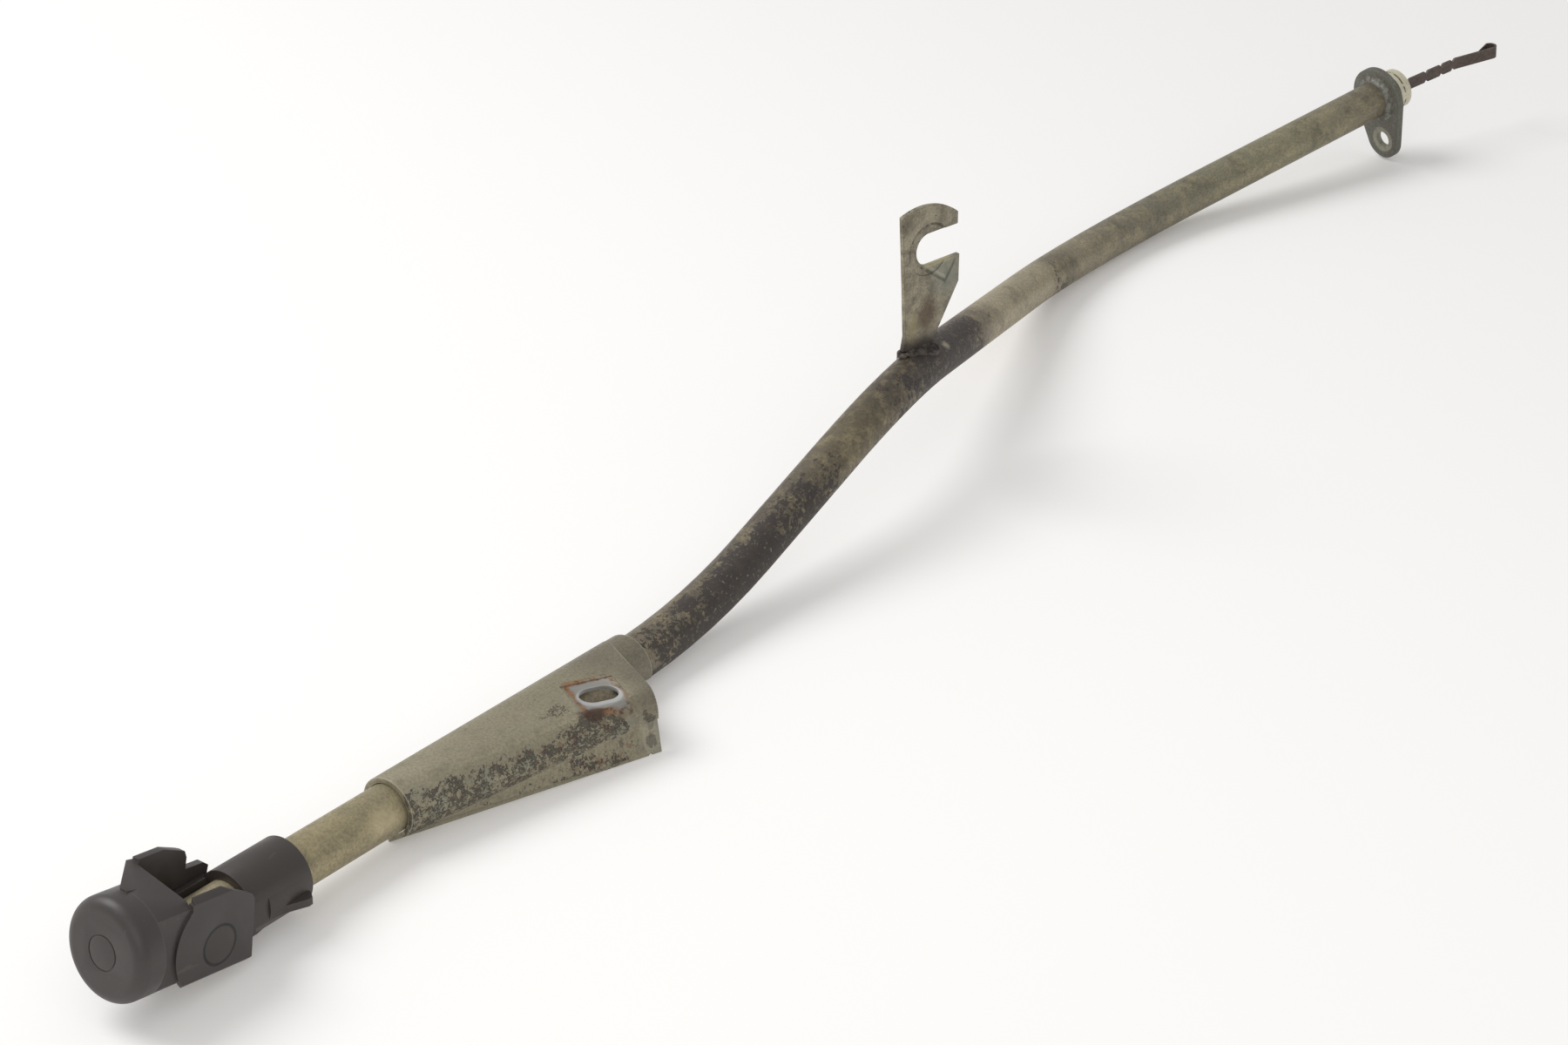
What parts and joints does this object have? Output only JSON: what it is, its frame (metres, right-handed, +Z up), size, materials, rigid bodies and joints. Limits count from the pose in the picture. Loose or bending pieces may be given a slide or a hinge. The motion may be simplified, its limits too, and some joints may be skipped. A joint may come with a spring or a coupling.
{
  "type": "dipstick with guide tube",
  "caption": "Fluid dipstick in its bent steel guide tube, with a locking lever cap, a support bracket, a hook bracket and a flanged spigot.",
  "frame": {"origin": "centre of the bounding box's foot, on the surface that the part lies on", "axes": "+X from the lever cap to the flanged spigot along the part's length, +Z up from the surface it lies on"},
  "size_m": [0.8399, 0.0885, 0.1032],
  "materials": {
    "tube_zinc": "dulled yellow zinc with dark spatter",
    "bracket_steel": "dull plated sheet with rust pits",
    "flange_steel": "dark dull steel",
    "weld_steel": "rough weld metal",
    "lever_plastic": "matt black moulding",
    "clip_plastic": "matt black moulding",
    "seal_rubber": "black rubber",
    "strip_steel": "dark brown spring steel",
    "rivet_steel": "plain"
  },
  "bodies": {
    "guide": {"guide_tube": "tube_zinc", "sealing_ring": "seal_rubber", "mounting_flange": "flange_steel", "flange_braze": "weld_steel", "support_bracket": "bracket_steel", "bracket_weld": "weld_steel", "hook_bracket": "bracket_steel", "hook_weld": "weld_steel", "clip_body": "clip_plastic", "mouth_plug": "seal_rubber", "strip_holder": "clip_plastic", "strip_rivet": "rivet_steel", "dipstick_strip": "strip_steel"},
    "lever": {"locking_lever": "lever_plastic"}
  },
  "joints": [
    {"name": "lever_hinge", "type": "hinge", "parent": "guide", "child": "lever", "pos_m": [-0.38803, -0.00618, 0.01485], "axis": [0.0256, 0.9997, -0.0034], "range_deg": [0, 70]}
  ]
}
